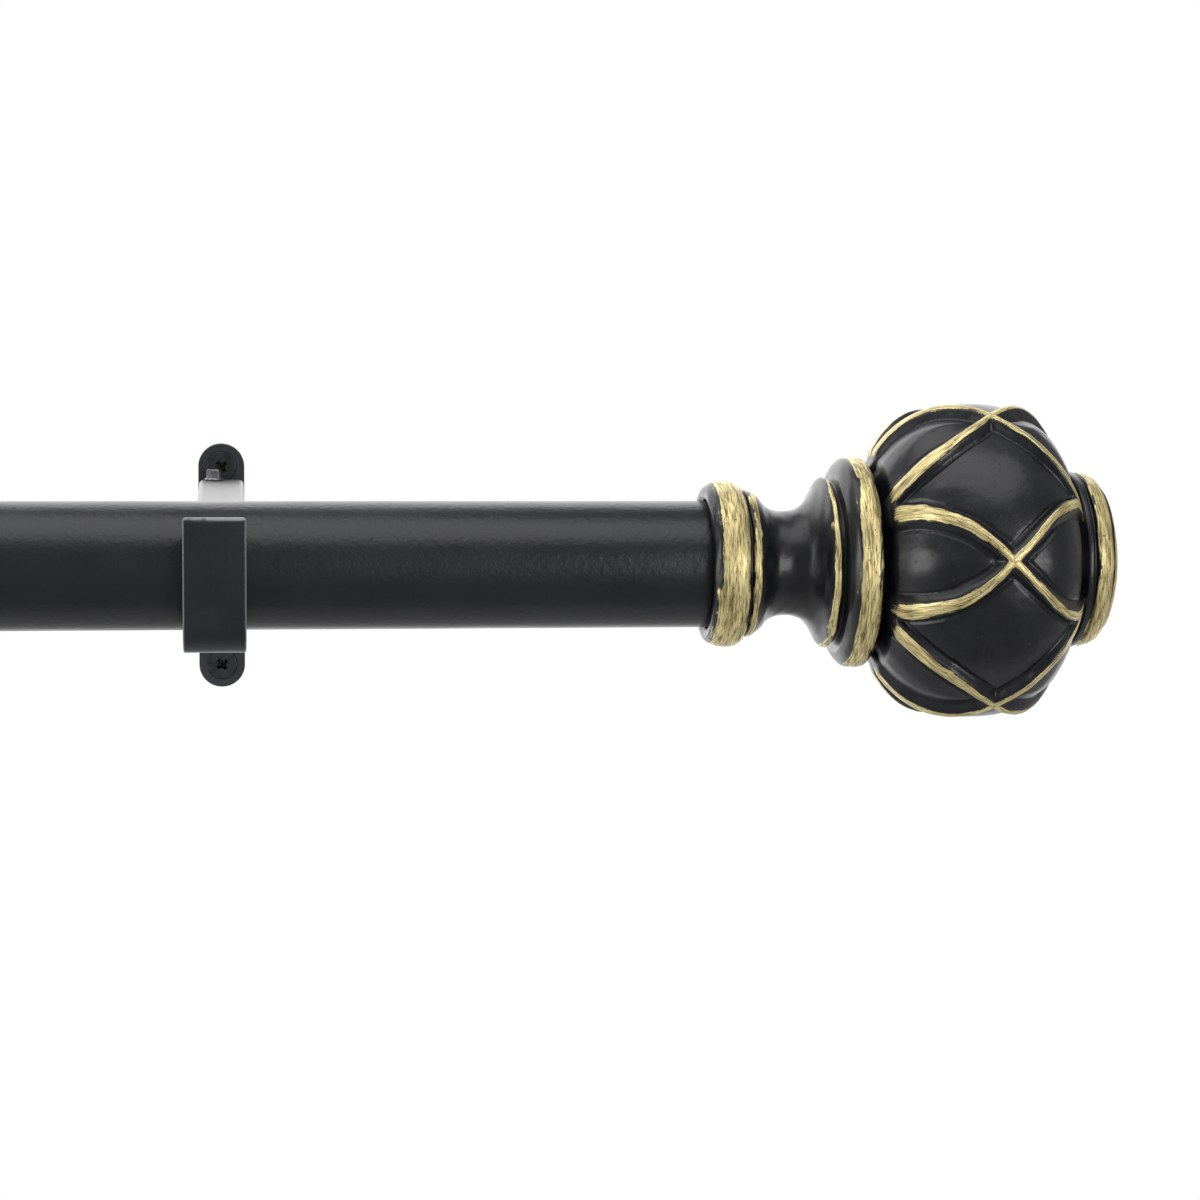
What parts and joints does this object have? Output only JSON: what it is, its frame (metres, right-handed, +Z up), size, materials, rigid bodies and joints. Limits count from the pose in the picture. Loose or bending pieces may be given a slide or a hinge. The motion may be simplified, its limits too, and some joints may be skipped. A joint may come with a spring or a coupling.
{
  "type": "curtain rod with brackets",
  "caption": "Telescoping one inch curtain rod with latticed ball finials, lying in adjustable hook brackets that screw to the wall.",
  "frame": {"origin": "middle of the right-hand wall plate's back face, on the wall", "axes": "+X along the rod towards its right-hand end, +Y into the wall, +Z up"},
  "size_m": [0.8811, 0.156, 0.0728],
  "materials": {
    "rod_paint": "satin black powder coat",
    "bracket_paint": "satin black paint",
    "arm_enamel": "gloss black enamel",
    "finial_paint": "cast resin in semi-gloss black with rubbed gold edges",
    "nylon": "moulded black nylon",
    "plated_screw": "zinc plated",
    "black_screw": "black oxide"
  },
  "bodies": {
    "wall_plates": {"right_wall_plate": "bracket_paint", "right_post": "bracket_paint", "right_upper_wall_screw": "black_screw", "right_lower_wall_screw": "black_screw", "left_wall_plate": "bracket_paint", "left_post": "bracket_paint", "left_upper_wall_screw": "black_screw", "left_lower_wall_screw": "black_screw"},
    "right_arm": {"right_arm": "arm_enamel", "right_cradle": "bracket_paint"},
    "left_arm": {"left_arm": "arm_enamel", "left_cradle": "bracket_paint"},
    "right_lock": {"right_lock_screw": "plated_screw"},
    "left_lock": {"left_lock_screw": "plated_screw"},
    "rod": {"outer_tube": "rod_paint", "mouth_sleeve": "nylon"},
    "extension": {"inner_tube": "rod_paint", "guide_bush": "nylon", "reducer_ring": "nylon"},
    "right_finial": {"right_finial": "finial_paint", "right_spigot": "nylon", "right_spigot_screw": "plated_screw"},
    "left_finial": {"left_finial": "finial_paint", "left_spigot": "nylon", "left_spigot_screw": "plated_screw"}
  },
  "joints": [
    {"name": "right_arm_slide", "type": "slide", "parent": "wall_plates", "child": "right_arm", "axis": [0, -1, 0], "range_m": [0, 0.025]},
    {"name": "left_arm_slide", "type": "slide", "parent": "wall_plates", "child": "left_arm", "axis": [0, -1, 0], "range_m": [0, 0.025]},
    {"name": "right_lock_turn", "type": "hinge", "parent": "right_arm", "child": "right_lock", "pos_m": [-0.00165, -0.0064, 0.01995], "axis": [0, 0, 1], "range_deg": [0, 720]},
    {"name": "left_lock_turn", "type": "hinge", "parent": "left_arm", "child": "left_lock", "pos_m": [-0.52035, -0.0064, 0.01995], "axis": [0, 0, 1], "range_deg": [0, 720]},
    {"name": "rod_lift", "type": "slide", "parent": "right_arm", "child": "rod", "axis": [0, 0, 1], "range_m": [0, 0.04]},
    {"name": "rod_extend", "type": "slide", "parent": "rod", "child": "extension", "axis": [-1, 0, 0], "range_m": [0, 0.508]},
    {"name": "right_finial_pull", "type": "slide", "parent": "rod", "child": "right_finial", "axis": [1, 0, 0], "range_m": [0, 0.03]},
    {"name": "left_finial_pull", "type": "slide", "parent": "extension", "child": "left_finial", "axis": [-1, 0, 0], "range_m": [0, 0.03]}
  ],
  "couplings": [
    {"joint": "left_arm_slide", "follows": "right_arm_slide", "ratio": 1}
  ]
}
